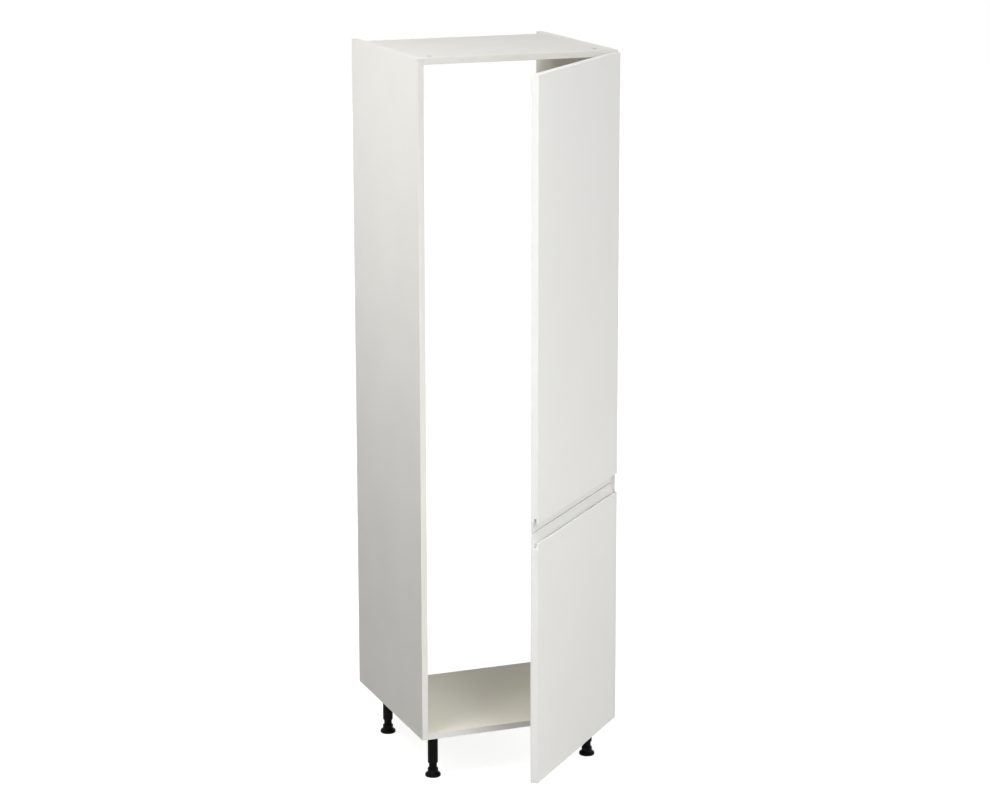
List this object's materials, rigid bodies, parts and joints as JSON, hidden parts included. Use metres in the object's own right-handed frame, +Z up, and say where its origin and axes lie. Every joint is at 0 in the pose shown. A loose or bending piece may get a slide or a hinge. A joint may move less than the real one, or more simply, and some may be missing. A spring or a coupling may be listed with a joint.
{
  "type": "tall fridge housing",
  "caption": "Tall open-backed housing for a built-in fridge, with slab doors on concealed hinges, recessed finger pulls and adjustable screw legs.",
  "frame": {"origin": "on the floor, in the middle of the unit's box as it stands with both doors part open", "axes": "+Z up, +X to the right as one faces the front, +Y from the front to the back"},
  "size_m": [0.6, 1.0111, 2.107],
  "materials": {
    "melamine_board": "white melamine facing, fine satin",
    "lacquered_door": "smooth white foil, satin gloss",
    "black_plastic": "moulded, satin",
    "nickel_steel": "nickel plated",
    "zinc_casting": "die cast, plain"
  },
  "bodies": {
    "carcass": {"left_side_panel": "melamine_board", "right_side_panel": "melamine_board", "top_board": "melamine_board", "floor_board": "melamine_board", "cam_top_front_left": "zinc_casting", "cam_top_front_right": "zinc_casting", "cam_top_rear_left": "zinc_casting", "cam_top_rear_right": "zinc_casting", "cam_floor_front_left": "zinc_casting", "cam_floor_front_right": "zinc_casting", "cam_floor_rear_left": "zinc_casting", "cam_floor_rear_right": "zinc_casting", "cam_bolt_top_front_left": "nickel_steel", "cam_bolt_top_front_right": "nickel_steel", "cam_bolt_top_rear_left": "nickel_steel", "cam_bolt_top_rear_right": "nickel_steel", "cam_bolt_floor_front_left": "nickel_steel", "cam_bolt_floor_front_right": "nickel_steel", "cam_bolt_floor_rear_left": "nickel_steel", "cam_bolt_floor_rear_right": "nickel_steel", "leg_plate_front_left": "black_plastic", "leg_plate_front_right": "black_plastic", "leg_plate_rear_left": "black_plastic", "leg_plate_rear_right": "black_plastic", "leg_tube_front_left": "black_plastic", "leg_tube_front_right": "black_plastic", "leg_tube_rear_left": "black_plastic", "leg_tube_rear_right": "black_plastic", "hinge_plate_lower_bottom": "nickel_steel", "hinge_plate_lower_top": "nickel_steel", "hinge_plate_upper_bottom": "nickel_steel", "hinge_plate_upper_middle": "nickel_steel", "hinge_plate_upper_top": "nickel_steel", "hinge_arm_lower_bottom": "nickel_steel", "hinge_arm_lower_top": "nickel_steel", "hinge_arm_upper_bottom": "nickel_steel", "hinge_arm_upper_middle": "nickel_steel", "hinge_arm_upper_top": "nickel_steel"},
    "lower_door": {"lower_door": "lacquered_door", "hinge_cup_lower_bottom": "nickel_steel", "hinge_cup_lower_top": "nickel_steel"},
    "upper_door": {"upper_door": "lacquered_door", "hinge_cup_upper_bottom": "nickel_steel", "hinge_cup_upper_middle": "nickel_steel", "hinge_cup_upper_top": "nickel_steel"},
    "lower_hinge_links": {"hinge_link_lower_bottom": "nickel_steel", "hinge_link_lower_top": "nickel_steel"},
    "upper_hinge_links": {"hinge_link_upper_bottom": "nickel_steel", "hinge_link_upper_middle": "nickel_steel", "hinge_link_upper_top": "nickel_steel"},
    "foot_front_left": {"leg_foot_front_left": "black_plastic"},
    "foot_front_right": {"leg_foot_front_right": "black_plastic"},
    "foot_rear_left": {"leg_foot_rear_left": "black_plastic"},
    "foot_rear_right": {"leg_foot_rear_right": "black_plastic"}
  },
  "joints": [
    {"name": "lower_door_hinge", "type": "hinge", "parent": "carcass", "child": "lower_door", "pos_m": [0.289, -0.08444, 0.4945], "axis": [0, 0, 1], "range_deg": [-45.3, 54.7]},
    {"name": "upper_door_hinge", "type": "hinge", "parent": "carcass", "child": "upper_door", "pos_m": [0.289, -0.08444, 1.4785], "axis": [0, 0, 1], "range_deg": [-45.3, 54.7]},
    {"name": "lower_link_pivot", "type": "hinge", "parent": "carcass", "child": "lower_hinge_links", "pos_m": [0.2647, -0.07484, 0.4945], "axis": [0, 0, 1], "range_deg": [-34, 28.2]},
    {"name": "upper_link_pivot", "type": "hinge", "parent": "carcass", "child": "upper_hinge_links", "pos_m": [0.2647, -0.07484, 1.4785], "axis": [0, 0, 1], "range_deg": [-34, 28.2]},
    {"name": "foot_front_left_screw", "type": "slide", "parent": "carcass", "child": "foot_front_left", "axis": [0, 0, -1], "range_m": [-0.016, 0.025]},
    {"name": "foot_front_right_screw", "type": "slide", "parent": "carcass", "child": "foot_front_right", "axis": [0, 0, -1], "range_m": [-0.016, 0.025]},
    {"name": "foot_rear_left_screw", "type": "slide", "parent": "carcass", "child": "foot_rear_left", "axis": [0, 0, -1], "range_m": [-0.016, 0.025]},
    {"name": "foot_rear_right_screw", "type": "slide", "parent": "carcass", "child": "foot_rear_right", "axis": [0, 0, -1], "range_m": [-0.016, 0.025]}
  ],
  "couplings": [
    {"joint": "lower_link_pivot", "follows": "lower_door_hinge", "ratio": -0.62},
    {"joint": "upper_link_pivot", "follows": "upper_door_hinge", "ratio": -0.62}
  ]
}
